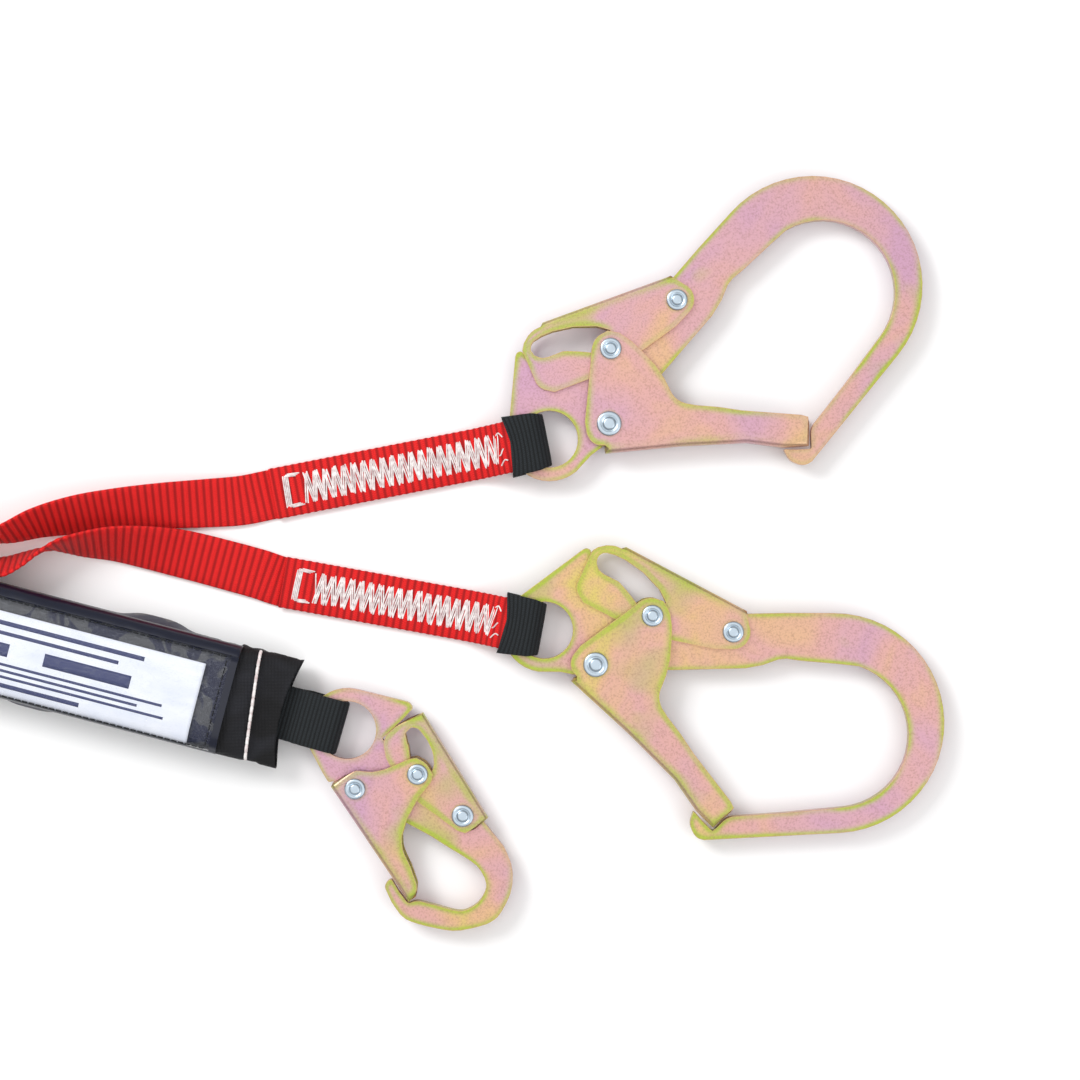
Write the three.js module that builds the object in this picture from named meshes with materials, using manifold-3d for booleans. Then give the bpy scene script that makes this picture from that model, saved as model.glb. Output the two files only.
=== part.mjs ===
// Twin-leg shock absorbing lanyard: two webbing legs with rebar hooks, an absorber pack and a snap hook.
// Millimetres, +Z up. The lanyard lies flat on the ground, with its hooks on their rivet heads.
import * as THREE from 'three';
import { mergeVertices } from 'three/addons/utils/BufferGeometryUtils.js';
import Module from 'manifold-3d';

const wasm = await Module();
wasm.setup();

// ---- Driving dimensions ---------------------------------------------------------------------------
const HOOK_MID_Z = 9.6; // height of every hook's mid-plane over the ground
const GAP = 0.3; // running gap between neighbouring plates and webbing layers
const BODY_HALF = 2.75; // half the thickness of a hook's stamped body plate
const LEVER_SHEET = 1.8; // sheet of the lock lever's channel
const GATE_SHEET = 2.0; // sheet of the gate's channel
const HEAD_HEIGHT = 2.15; // rivet head over the sheet that it holds
const RIVET_SIDES = 20;

const WEB_WIDTH = 25; // leg webbing
const WEB = 1.5; // thickness of all webbing
const PAD_WIDTH = 26.5; // wear pad in a hook's eye
const PAD = 1.2; // thickness of the wear pad
const LOOP_HALF = 5; // half the clear height of a webbing loop round a hook's eye
const BIGHT_REACH = -1.2; // the loop's outside ends here, measured from the eye's centre
const PACK_LOOP_REACH = -2.5; // the same, for the pack's loop in the snap hook's eye

const PACK_LENGTH = 205;
const PACK_HALF_WIDTH = 28;
const PACK_HALF_HEIGHT = 14;
const PACK_END_HALF_HEIGHT = 8;
const PACK_WALL = 2;
const PACK_RIGHT = [-125, -87]; // centre of the pack's right mouth on the ground plan
const PACK_ANGLE = -14.6; // degrees, from the pack's left end to its right end

const LEVER_IN = BODY_HALF + GAP;
const LEVER_OUT = LEVER_IN + LEVER_SHEET;
const GATE_IN = LEVER_OUT + GAP;
const GATE_OUT = GATE_IN + GATE_SHEET;
const HEAD_TOP = GATE_OUT + GAP + HEAD_HEIGHT;

// ---- Finishes -------------------------------------------------------------------------------------
const finish = (color, roughness, metalness, more = {}) =>
  new THREE.MeshStandardMaterial({ color, roughness, metalness, ...more });
const yellowZinc = finish(0xc9b45e, 0.35, 0.9);
const brightZinc = finish(0xc8d4dc, 0.3, 0.95);
const springSteel = finish(0x8a8f94, 0.35, 0.95);
const redWebbing = finish(0xd3161c, 0.85, 0);
const blackWebbing = finish(0x17191d, 0.9, 0);
const coverCloth = finish(0x1b1f2a, 0.8, 0);
const whiteThread = finish(0xe9e6e4, 0.7, 0);
const labelCard = finish(0xf1f3f6, 0.6, 0);
const clearVinyl = finish(0xdfe6ee, 0.15, 0, { transparent: true, opacity: 0.3 });

// ---- Small tools ----------------------------------------------------------------------------------
const radians = THREE.MathUtils.degToRad;

function arc(cx, cy, radius, from, to, steps) {
  return Array.from({ length: steps + 1 }, (_, i) => {
    const angle = radians(from + ((to - from) * i) / steps);
    return [cx + radius * Math.cos(angle), cy + radius * Math.sin(angle)];
  });
}

function smooth(points, steps) {
  const curve = new THREE.SplineCurve(points.map(([x, y]) => new THREE.Vector2(x, y)));
  return curve.getPoints(steps).map((p) => [p.x, p.y]);
}

const turned = ([x, y], degrees, [cx, cy] = [0, 0]) => {
  const c = Math.cos(radians(degrees));
  const s = Math.sin(radians(degrees));
  return [cx + (x - cx) * c - (y - cy) * s, cy + (x - cx) * s + (y - cy) * c];
};

// Closes a geometry: shared corners are merged, slivers dropped and the faces turned outwards.
function closed(geometry) {
  const bare = geometry.clone();
  bare.deleteAttribute('normal');
  bare.deleteAttribute('uv');
  const merged = mergeVertices(bare, 1e-4);
  const place = merged.attributes.position;
  const corner = (i) => new THREE.Vector3().fromBufferAttribute(place, i);
  let volume = 0;
  const faces = [];
  for (let i = 0; i < merged.index.count; i += 3) {
    const [a, b, c] = [0, 1, 2].map((k) => merged.index.getX(i + k));
    if (a === b || b === c || c === a) continue;
    volume += corner(a).dot(corner(b).cross(corner(c)));
    faces.push([a, b, c]);
  }
  merged.setIndex(faces.flatMap(([a, b, c]) => (volume > 0 ? [a, b, c] : [a, c, b])));
  return merged;
}

function toSolid(geometry) {
  const shell = closed(geometry);
  const vertProperties = Float32Array.from(shell.attributes.position.array);
  const triVerts = Uint32Array.from(shell.index.array);
  return new wasm.Manifold(new wasm.Mesh({ numProp: 3, vertProperties, triVerts }));
}

function fromSolid(solid) {
  const mesh = solid.getMesh();
  const geometry = new THREE.BufferGeometry();
  geometry.setAttribute('position', new THREE.BufferAttribute(mesh.vertProperties, 3));
  geometry.setIndex(new THREE.BufferAttribute(mesh.triVerts, 1));
  geometry.computeVertexNormals();
  return geometry;
}

function slab(outline, low, high) {
  const shape = new THREE.Shape(outline.map(([x, y]) => new THREE.Vector2(x, y)));
  const geometry = new THREE.ExtrudeGeometry(shape, { depth: high - low, bevelEnabled: false });
  return toSolid(geometry.translate(0, 0, low));
}

function drill([x, y], radius, half) {
  return slab(arc(x, y, radius, 0, 360 - 360 / 20, 19), -half, half);
}

function named(name, geometry, material) {
  const mesh = new THREE.Mesh(geometry, material);
  mesh.name = name;
  return mesh;
}

// A flat strap through stations {at, across}: a box bent along them. Its two faces are split along
// the same diagonals, so that a twist keeps its thickness.
function ribbon(stations, width, thickness) {
  const last = stations.length - 1;
  const geometry = new THREE.BoxGeometry(last, width, thickness, last, 1, 1);
  const underside = geometry.groups.at(-1);
  const corners = geometry.index.array;
  for (let i = underside.start; i < underside.start + underside.count; i += 6) {
    const [a, b, d, , c] = corners.subarray(i, i + 6);
    corners.set([a, b, c, a, c, d], i);
  }
  const place = geometry.attributes.position;
  for (let i = 0; i < place.count; i += 1) {
    const k = Math.round(place.getX(i) + last / 2);
    const before = stations[Math.max(k - 1, 0)].at;
    const after = stations[Math.min(k + 1, last)].at;
    const along = after.clone().sub(before).normalize();
    const across = stations[k].across.clone();
    across.addScaledVector(along, -along.dot(across)).normalize();
    const normal = along.clone().cross(across);
    const point = stations[k].at.clone();
    point.addScaledVector(across, place.getY(i)).addScaledVector(normal, place.getZ(i));
    place.setXYZ(i, point.x, point.y, point.z);
  }
  return closed(geometry);
}

// ---- Hooks ----------------------------------------------------------------------------------------
// Both hook sizes are described flat, with the eye's centre at the origin and the bow towards +x.
const rebar = {
  gateRivet: { at: [25.5, -17], head: 6.2, shank: 3.5 },
  lockPin: { at: [53.8, 7.4], head: 5.4, shank: 3 },
  leverRivet: { at: [94.2, -0.8], head: 5.3, shank: 3 },
  gateSwing: 45,
  leverPress: 11,
  eye: 14.2,
  body: [
    ...arc(0, 0, 21, 262, 122, 14),
    [19, 40.2], [21, 41.2], [23.2, 40.2], [23.5, 18],
    ...arc(25.5, -17, 33.2, 93, 32, 7),
    [62, 1], [67, 5.6], [72, 8.2], [102, 8.2], [121, 8.6],
    ...arc(145, -46.5, 55, 90, -87, 26),
    [119.4, -103], [79.8, -105], [76.6, -104.2], [74.4, -101.8], [72.4, -96.6], [74.6, -90.4],
    [78.8, -95.3], [84.1, -100.6], [91.5, -93.3], [119.4, -91.4],
    ...arc(146, -52.5, 36.2, -85, 72, 20),
    [145.3, -16.8], [128, -15.3], [121.2, -14.3], [116.9, -14.7], [109.1, -17.5], [100.5, -19.1],
    [62, -20], [14.5, -22.2], [8, -20.9],
  ],
  gate: [
    [48.9, 15.5], [35.2, 5.2], [18, -7.5], [14, -12.4], [12.8, -16.1], [13.4, -19.5], [16.2, -23],
    [14.5, -24.1], [13.5, -25.6], [41.3, -51.1], [64.7, -74.5], [75.4, -89.9], [84.1, -98.5],
    [92.6, -90.6], [94.4, -88.4], [92.8, -85.2], [74.7, -61.8], [68, -51.7], [61.3, -43],
    [57.6, -37], [57, -31.7], [60.7, -22.3], [62.7, -14.4], [63.4, -4.9], [63.6, 1.8],
    [62.6, 9.5], [59.4, 14.6], [53.5, 16.6],
  ],
  gateHollow: [
    [-20, -23.9], [15.3, -23.9], [42.7, -49.7], [66.2, -73.1], [76.9, -88.7], [86.5, -98.2],
    [120, -70], [120, 60], [-20, 60],
  ],
  lever: [
    [31.2, 42.5], [27, 41.6], [23.7, 39.7], [16.2, 23.6], [15.8, 21], [16.5, 18.4], [19.1, 13.8],
    [34.6, 5.8], [63.9, -5], [84, -9.3],
    ...arc(94.2, -0.8, 8.7, -90, 20, 7),
    [101, 9.6], [96.1, 12.3], [40.9, 41.6], [38.6, 40.8], [35.2, 42.3],
  ],
  leverHollow: [
    [-20, -40], [130, -40], [130, 10.7], [95.3, 10.7], [40.1, 40], [39.4, 44], [39.4, 60], [-20, 60],
  ],
  window: [
    [31.2, 38.6], [28.9, 38.5], [26.6, 36.6], [26, 33.5], [27.2, 30], [30, 27.9], [40.9, 22.4],
    [48.9, 15.8], [51.5, 10.5], [57.5, 10.5], [60.7, 13.8], [57.6, 20.1], [49.5, 28.7],
    [40.9, 34.8], [35.6, 37.4],
  ],
  gateSpring: { legs: [[43.5, -47.2], [52, -17]], radius: 4.9, wire: 0.45 },
  leverSpring: [
    [72, 9.5], [80, 9.5], [87.5, 9.5], [89.4, 10.6], [89.2, 12.4], [85.5, 14.6], [75, 20], [66, 24.6],
  ],
};

const snapHook = {
  gateRivet: { at: [26.4, -12.7], head: 5.2, shank: 3 },
  lockPin: { at: [37.8, 17.2], head: 5.2, shank: 3 },
  leverRivet: { at: [67.7, 24.1], head: 5.5, shank: 3 },
  gateSwing: 28,
  leverPress: 8,
  eye: 14.5,
  body: [
    ...arc(0, 0, 20.9, 268, 133, 14),
    [3.6, 31.4], [6, 33.6], [9.4, 33.4], [11.3, 25.1],
    ...arc(26.4, -12.7, 27.8, 118, 62, 7),
    [42, 12], [46, 14], [50, 28.5], [60, 30.2], [76.1, 30.9],
    ...smooth([[92.2, 32.2], [103.3, 29.8], [112.7, 22.9], [118.8, 12.5], [119.8, 6.5], [118.6, 0.5],
      [114.1, -10.4], [108, -17.6], [99.5, -25.4], [92.9, -29.3], [83.6, -29.7]], 24),
    [75.6, -28.4], [74, -26.4], [74, -23.2], [81.2, -23.7], [89, -23.2], [89.9, -18.9],
    ...smooth([[97, -12.5], [104.5, -6.1], [107.7, -1.6], [108.3, 5.3], [106, 11.3], [102, 15],
      [94, 16], [86.5, 13.6], [76.5, 9]], 18),
    [67.3, 5], [55.6, -1.1], [29, -19], [17.6, -19.5], [16.4, -22.4], [10.2, -22.1],
  ],
  gate: [
    [17.8, -20.6], [18, -14], [19.2, -7.2], [24.2, -0.9], [26.5, 4.5], [29.1, 17.9], [30.5, 21.2],
    [35.5, 24], [42.1, 23.6], [44.8, 20.9], [48.2, 10.3], [53.4, 0.4], [59.3, -6.8], [64.6, -10.1],
    [74.4, -11.6], [83.5, -14], [87.8, -17.6], [88.4, -22.3], [18.8, -22.3],
  ],
  gateHollow: [[-20, -20.3], [130, -20.3], [130, 60], [-20, 60]],
  lever: [
    [14, 36.2], [75.8, 33.8], [76.6, 25.8], [75.6, 20.2], [72.5, 17.7], [49.7, 9.4], [40, 8],
    [26.1, 8], [22.2, 8.5], [15.5, 11.4], [13, 14.8], [12.1, 20.7], [12.5, 29],
  ],
  leverHollow: [[-20, -40], [130, -40], [130, 30.3], [75.8, 32], [12, 34.5], [-20, 35.4]],
  window: [
    [16.6, 27.4], [17.6, 23.2], [22.3, 21.4], [28.2, 20.6], [34, 19.5], [41, 18], [41.5, 22],
    [39.4, 26], [33.2, 29.6], [26.3, 30.5], [19, 30.1],
  ],
  gateSpring: { legs: [[46, -19.2], [41, -4]], radius: 4.4, wire: 0.45 },
  leverSpring: [[45, 16.4], [45.4, 20], [44.6, 24.5], [41.5, 28.5], [36, 31.2], [30, 32.3], [23, 32.9]],
};

// The lever's cam slot: the band that the lock pin sweeps while gate and lever turn together.
function pinSlot(hook) {
  const steps = 12;
  const clearance = hook.lockPin.shank + GAP;
  const path = Array.from({ length: steps + 1 }, (_, i) => {
    const pin = turned(hook.lockPin.at, (hook.gateSwing * i) / steps, hook.gateRivet.at);
    return turned(pin, (-hook.leverPress * i) / steps, hook.leverRivet.at);
  });
  const side = (sign) => path.map(([x, y], i) => {
    const [ax, ay] = path[Math.max(i - 1, 0)];
    const [bx, by] = path[Math.min(i + 1, steps)];
    const length = Math.hypot(bx - ax, by - ay);
    return [x - (sign * clearance * (by - ay)) / length, y + (sign * clearance * (bx - ax)) / length];
  });
  const band = slab([...side(1), ...side(-1).reverse()], -2 * GATE_OUT, 2 * GATE_OUT);
  const ends = [path[0], path[steps]].map((end) => drill(end, clearance, 2 * GATE_OUT));
  return ends.reduce((all, end) => all.add(end), band);
}

function rivet({ at, head, shank }, seat, top) {
  const profile = [
    [0, -top], [head - 1, -top], [head, -top + 0.9], [head, -seat], [shank, -seat],
    [shank, seat], [head, seat], [head, top - 0.9], [head - 1, top], [0, top],
  ].map(([r, z]) => new THREE.Vector2(r, z));
  const geometry = new THREE.LatheGeometry(profile, RIVET_SIDES).rotateX(Math.PI / 2);
  return closed(geometry.translate(at[0], at[1], 0));
}

function wire(points, radius, sides, steps) {
  const curve = new THREE.CatmullRomCurve3(points, false, 'centripetal');
  const section = arc(0, 0, radius, 0, 360 - 360 / sides, sides - 1);
  const shape = new THREE.Shape(section.map(([x, y]) => new THREE.Vector2(x, y)));
  return closed(new THREE.ExtrudeGeometry(shape, { steps, extrudePath: curve, bevelEnabled: false }));
}

// A torsion spring round the gate rivet, in the space between the body plate and a gate ear.
function gateSpringShape({ gateRivet, gateSpring }) {
  const { legs, radius, wire: half } = gateSpring;
  const [cx, cy] = gateRivet.at;
  const low = BODY_HALF + half + 0.15;
  const rise = GATE_IN - BODY_HALF - 2 * half - 0.3;
  const angles = legs.map(([x, y]) => THREE.MathUtils.radToDeg(Math.atan2(y - cy, x - cx)));
  const start = angles[0] + 80;
  const end = angles[1] - 80 + 720;
  const turns = Array.from({ length: 17 }, (_, i) => {
    const [x, y] = turned([cx + radius, cy], start + ((end - start) * i) / 16, gateRivet.at);
    return new THREE.Vector3(x, y, low + (rise * i) / 16);
  });
  const first = new THREE.Vector3(legs[0][0], legs[0][1], low);
  const last = new THREE.Vector3(legs[1][0], legs[1][1], low + rise);
  return wire([first, ...turns, last], half, 6, 40);
}

function hookParts(name, hook) {
  const { gateRivet, lockPin, leverRivet } = hook;
  const through = 2 * GATE_OUT;
  const body = slab(hook.body, -BODY_HALF, BODY_HALF)
    .subtract(slab(arc(0, 0, hook.eye, 0, 350, 35), -through, through))
    .subtract(drill(gateRivet.at, gateRivet.shank + GAP, through))
    .subtract(drill(leverRivet.at, leverRivet.shank + GAP, through));
  const gate = slab(hook.gate, -GATE_OUT, GATE_OUT)
    .subtract(slab(hook.gateHollow, -GATE_IN, GATE_IN))
    .subtract(drill(gateRivet.at, gateRivet.shank + GAP, through))
    .subtract(drill(lockPin.at, lockPin.shank + GAP, through));
  const lever = slab(hook.lever, -LEVER_OUT, LEVER_OUT)
    .subtract(slab(hook.leverHollow, -LEVER_IN, LEVER_IN))
    .subtract(slab(hook.window, -through, through))
    .subtract(pinSlot(hook))
    .subtract(drill(leverRivet.at, leverRivet.shank + GAP, through));
  const leverWire = hook.leverSpring.map(([x, y]) => new THREE.Vector3(x, y, 0));
  const gateSeat = GATE_OUT + GAP;
  const leverSeat = LEVER_OUT + GAP;
  return [
    named(`${name}_body`, fromSolid(body), yellowZinc),
    named(`${name}_gate`, fromSolid(gate), yellowZinc),
    named(`${name}_lever`, fromSolid(lever), yellowZinc),
    named(`${name}_gate_rivet`, rivet(gateRivet, gateSeat, HEAD_TOP), brightZinc),
    named(`${name}_lock_pin`, rivet(lockPin, gateSeat, HEAD_TOP), brightZinc),
    named(`${name}_lever_rivet`, rivet(leverRivet, leverSeat, leverSeat + HEAD_HEIGHT), brightZinc),
    named(`${name}_gate_spring`, gateSpringShape(hook), springSteel),
    named(`${name}_lever_spring`, wire(leverWire, 0.7, 6, 16), springSteel),
  ];
}

// Where each hook lies: its eye's centre, the turn of its flat shape, and its webbing's direction.
const places = {
  hook_a: { hook: rebar, eye: [4.75, 50.4], turn: 48, strap: 11.1 },
  hook_b: { hook: rebar, eye: [2.25, -45.15], turn: 0, strap: -10.3 },
  snap: { hook: snapHook, eye: [-96.45, -95.1], turn: -56, strap: -15.8 },
};

function hookGroup(name) {
  const { hook, eye, turn } = places[name];
  const group = new THREE.Group();
  group.add(...hookParts(name, hook));
  group.position.set(eye[0], eye[1], HOOK_MID_Z);
  group.rotation.z = radians(turn);
  return group;
}

// ---- Webbing round an eye ---------------------------------------------------------------------------
// Stations along a strap that ends in a bight: q runs along the strap, 0 at the eye's centre.
function strapStation(name, q, z, sideways = 0) {
  const { eye, strap } = places[name];
  const [dx, dy] = turned([1, 0], strap);
  const at = new THREE.Vector3(eye[0] + q * dx - sideways * dy, eye[1] + q * dy + sideways * dx, z);
  return { at, across: new THREE.Vector3(-dy, dx, 0) };
}

function bight(name, radius, reach, steps) {
  return arc(reach - radius, HOOK_MID_Z, radius, -90, 90, steps).map(([q, z]) => strapStation(name, q, z));
}

const STRAP_RADIUS = LOOP_HALF + WEB / 2;
const PAD_RADIUS = LOOP_HALF + WEB + GAP + PAD / 2;
const STRAP_REACH = BIGHT_REACH - PAD - GAP - WEB / 2;
const LOWER_LAYER = [[-60, 1.05], [-50, 1.05], [-40, 1.7], [-30, 3], [-21, 4]];
const UPPER_LAYER = [[-21, 15.1], [-27, 10.6], [-33, 6.3], [-39, 3.7], [-46, 2.95], [-60, 2.85],
  [-100, 2.85]];
const STITCH_START = -48;
const STITCH_STEP = 2.5;
const STITCH_COUNT = 30;
const STITCH_HALF = 5;
const STITCH_BAND = 2.5; // half the thread's reach across the strap, which makes it 0.8 mm wide
const THREAD = 0.6;

function padShape(name) {
  const radius = PAD_RADIUS;
  const ends = [HOOK_MID_Z - radius, HOOK_MID_Z + radius].map((z) => strapStation(name, -20, z));
  const round = bight(name, radius, BIGHT_REACH - PAD / 2, 8);
  return ribbon([ends[0], ...round, ends[1]], PAD_WIDTH, PAD);
}

// The flat zigzag of thread that holds the folded end down, as one continuous stitch.
function zigzagShape(name) {
  const { eye, strap } = places[name];
  const line = Array.from({ length: STITCH_COUNT + 1 }, (_, i) => {
    const side = i % 2 ? STITCH_HALF : -STITCH_HALF;
    return [STITCH_START - STITCH_STEP * i, side];
  });
  const upper = line.map(([q, y]) => [q, y + STITCH_BAND]);
  const lower = line.map(([q, y]) => [q, y - STITCH_BAND]).reverse();
  const low = UPPER_LAYER.at(-1)[1] + WEB / 2 + GAP;
  const thread = fromSolid(slab([...upper, ...lower], low, low + THREAD));
  return thread.rotateZ(radians(strap)).translate(eye[0], eye[1], 0);
}

// ---- Legs -------------------------------------------------------------------------------------------
// A leg leaves the pack's left mouth, stands on edge in one open loop, runs along the pack and
// lies down towards its hook. Beyond the loop its route is a list of [x, y, tilt]: 0 is flat,
// 90 is on edge. The folded end reaches fold back from the eye's centre.
const LOOP_START = 70; // straight run out of the mouth, where the leg turns onto its edge
const LOOP_RADIUS = 125;
const NECK_RADIUS = 60;
const NECK_ANGLE = 60;
const RETURN_OFFSET = 38.5; // the legs come back this far beside the pack's centre line
const LEG_SPACING = 5.5; // half the distance between the legs on their loop
const TWIST_HUMP = 1.8; // the legs rise this much while they turn onto their edges
const RUN_LIFT = 1; // the twisting stretch is held a little off the ground by its own stiffness

const legs = {
  leg_a: {
    hook: 'hook_a',
    side: 1,
    mouthZ: 13.4,
    fold: 142,
    run: [[-285, 1.2, 86], [-268.5, 2.7, 72], [-251, 8.6, 56], [-232, 12.6, 42], [-212.5, 15.2, 34],
      [-189, 17.2, 24], [-170, 18.3, 15], [-150, 19.9, 5]],
  },
  leg_b: {
    hook: 'hook_b',
    side: -1,
    mouthZ: 11.4,
    fold: 134,
    run: [[-300, -8.8, 90], [-284, -12, 98], [-268.5, -13.4, 112], [-259, -10, 107], [-249, -5.4, 95],
      [-239, -3, 76], [-227, -2.3, 60], [-212.6, -2, 46], [-193.5, -4.4, 28], [-179.1, -7.2, 13],
      [-155.2, -13.4, 4], [-141, -17.4, 1]],
  },
};

function packMouth() {
  const [dx, dy] = turned([1, 0], PACK_ANGLE);
  return [PACK_RIGHT[0] - PACK_LENGTH * dx, PACK_RIGHT[1] - PACK_LENGTH * dy];
}

// The loop in the mouth's own frame: x straight out of the pack, y to the left of that.
function loopCentreline(side) {
  const shift = LEG_SPACING * side;
  const reach = NECK_RADIUS + LOOP_RADIUS;
  const neck = radians(NECK_ANGLE);
  const centre = [LOOP_START + reach * Math.sin(neck), NECK_RADIUS - reach * Math.cos(neck)];
  const backY = -RETURN_OFFSET - NECK_RADIUS;
  const closing = Math.acos((centre[1] - backY) / reach);
  const backX = centre[0] - reach * Math.sin(closing);
  const closingDegrees = THREE.MathUtils.radToDeg(closing);
  return [
    ...arc(LOOP_START, NECK_RADIUS, NECK_RADIUS - shift, -90, -90 + NECK_ANGLE, 4),
    ...arc(...centre, LOOP_RADIUS + shift, 90 + NECK_ANGLE, -90 - closingDegrees, 24).slice(1),
    ...arc(backX, backY, NECK_RADIUS - shift, 90 - closingDegrees, 90, 5).slice(1),
  ];
}

function legStations(name) {
  const { hook, side, mouthZ, fold, run } = legs[name];
  const mouth = packMouth();
  const outward = PACK_ANGLE + 180;
  const onEdgeZ = GAP + WEB_WIDTH / 2;
  const place = ([x, y], z) => {
    const [px, py] = turned([x, y], outward);
    return new THREE.Vector3(mouth[0] + px, mouth[1] + py, z);
  };
  const left = new THREE.Vector3(...turned([0, 1], outward), 0);
  const down = new THREE.Vector3(0, 0, -1);
  const twist = [-18, 0, 12, 26, 40, 54, 66].map((x) => {
    const part = THREE.MathUtils.smoothstep(x, 4, 62);
    const angle = (part * Math.PI) / 2;
    const stack = side * THREE.MathUtils.lerp(1, LEG_SPACING, part);
    const hump = TWIST_HUMP * Math.sin(part * Math.PI);
    const z = THREE.MathUtils.lerp(12.4, onEdgeZ, part) + hump + stack * Math.cos(angle);
    const across = left.clone().multiplyScalar(Math.cos(angle)).addScaledVector(down, Math.sin(angle));
    return { at: place([x, stack * Math.sin(angle)], x < 4 ? mouthZ : z), across };
  });
  const loop = loopCentreline(side).map((point) => ({ at: place(point, onEdgeZ), across: down.clone() }));
  const lying = run.map(([x, y, tilt], i) => {
    const ahead = run[i + 1] ?? [x + 20, y + 20 * Math.tan(radians(places[hook].strap))];
    const behind = run[i - 1] ?? [x - 20, y];
    const across = new THREE.Vector3(ahead[1] - behind[1], behind[0] - ahead[0], 0).normalize();
    const turn = radians(tilt);
    const rise = (WEB_WIDTH / 2) * Math.sin(turn) + (WEB / 2) * Math.abs(Math.cos(turn));
    across.multiplyScalar(Math.cos(turn)).addScaledVector(down, Math.sin(turn));
    return { at: new THREE.Vector3(x, y, GAP + RUN_LIFT + rise), across };
  });
  const folded = [
    strapStation(hook, -fold, 1.05),
    strapStation(hook, -95, 1.05),
    ...LOWER_LAYER.map(([q, z]) => strapStation(hook, q, z)),
    ...bight(hook, STRAP_RADIUS, STRAP_REACH, 8),
    ...UPPER_LAYER.map(([q, z]) => strapStation(hook, q, z)),
    strapStation(hook, -fold, UPPER_LAYER.at(-1)[1]),
  ];
  folded.forEach(({ across }) => across.negate());
  return [...twist, ...loop, ...lying, ...folded];
}

function legParts(name) {
  const { hook } = legs[name];
  return [
    named(`${name}_webbing`, ribbon(legStations(name), WEB_WIDTH, WEB), redWebbing),
    named(`${name}_wear_pad`, padShape(hook), blackWebbing),
    named(`${name}_stitching`, zigzagShape(hook), whiteThread),
  ];
}

// ---- Absorber pack ------------------------------------------------------------------------------------
// The pack's own frame: x from its left mouth to its right mouth, y across, z up from the ground.
const SLEEVE_POWER = 4; // squareness of the sleeve's section
const END_TAPER = 34;
const [WINDOW_LEFT, WINDOW_RIGHT] = [20, 170];
const [LABEL_LEFT, LABEL_RIGHT] = [28, 161];
const [TEAR_LEFT, TEAR_RIGHT] = [40, 160];

function sleeveAt(x) {
  const inside = Math.min(x, PACK_LENGTH - x);
  const full = THREE.MathUtils.smoothstep(inside, -2, END_TAPER);
  const half = THREE.MathUtils.lerp(PACK_END_HALF_HEIGHT, PACK_HALF_HEIGHT, full);
  return { half, mid: THREE.MathUtils.lerp(12.4, PACK_HALF_HEIGHT, full) };
}

function sleeveTop(x, y) {
  const { half, mid } = sleeveAt(x);
  const part = Math.min(Math.abs(y) / PACK_HALF_WIDTH, 1);
  return mid + half * (1 - part ** SLEEVE_POWER) ** (1 / SLEEVE_POWER);
}

function sleeveSolid(inset, overrun) {
  const length = PACK_LENGTH + 2 * overrun;
  const geometry = new THREE.CylinderGeometry(1, 1, length, 28, 12).rotateZ(Math.PI / 2);
  const place = geometry.attributes.position;
  const squared = (value) => Math.sign(value) * Math.abs(value) ** (2 / SLEEVE_POWER);
  for (let i = 0; i < place.count; i += 1) {
    const x = place.getX(i) + PACK_LENGTH / 2;
    const { half, mid } = sleeveAt(Math.min(Math.max(x, 0), PACK_LENGTH));
    const y = squared(place.getY(i)) * (PACK_HALF_WIDTH - inset);
    const z = mid + squared(place.getZ(i)) * (half - inset);
    place.setXYZ(i, x, y, z);
  }
  return toSolid(geometry);
}

// A thin sheet lying over the sleeve's top.
function topSheet(x0, x1, width, lift, thickness) {
  const geometry = new THREE.BoxGeometry(x1 - x0, width, thickness, 10, 8, 1);
  const place = geometry.attributes.position;
  for (let i = 0; i < place.count; i += 1) {
    const x = place.getX(i) + (x0 + x1) / 2;
    place.setXYZ(i, x, place.getY(i), sleeveTop(x, place.getY(i)) + lift + place.getZ(i));
  }
  return closed(geometry);
}

// The tear webbing, folded to and fro in flat layers that hold together at their folds.
function foldedWebbing() {
  const layers = 6;
  const step = 3;
  const sheet = 2.2;
  const low = PACK_HALF_HEIGHT - ((layers - 1) * step + sheet) / 2;
  const bars = Array.from({ length: layers }, (_, i) => {
    const z = low + i * step;
    return slab([[TEAR_LEFT, z], [TEAR_RIGHT, z], [TEAR_RIGHT, z + sheet], [TEAR_LEFT, z + sheet]], -22, 22);
  });
  const folds = bars.slice(1).map((_, i) => {
    const x = i % 2 ? TEAR_LEFT : TEAR_RIGHT - sheet;
    const z = low + i * step;
    return slab([[x, z], [x + sheet, z], [x + sheet, z + step + sheet], [x, z + step + sheet]], -22, 22);
  });
  const solid = [...bars, ...folds].reduce((all, piece) => all.add(piece));
  return fromSolid(solid).rotateX(Math.PI / 2);
}

function crossStitch(x) {
  const stations = [-20, -12, -4, 4, 12, 20].map((y) => ({
    at: new THREE.Vector3(x, y, sleeveTop(x, y) + 1.1),
    across: new THREE.Vector3(1, 0, 0),
  }));
  return ribbon(stations, 1, 0.5);
}

function packLoopStations() {
  const near = -28;
  const inner = -52;
  const layer = (sign) => [
    strapStation('snap', inner, 12.4 + sign * 1.2),
    strapStation('snap', near, 12 + sign * 1.6),
    strapStation('snap', -22, HOOK_MID_Z + sign * STRAP_RADIUS),
  ];
  const round = bight('snap', STRAP_RADIUS, PACK_LOOP_REACH - WEB / 2, 8);
  return [...layer(-1), ...round, ...layer(1).reverse()];
}

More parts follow.
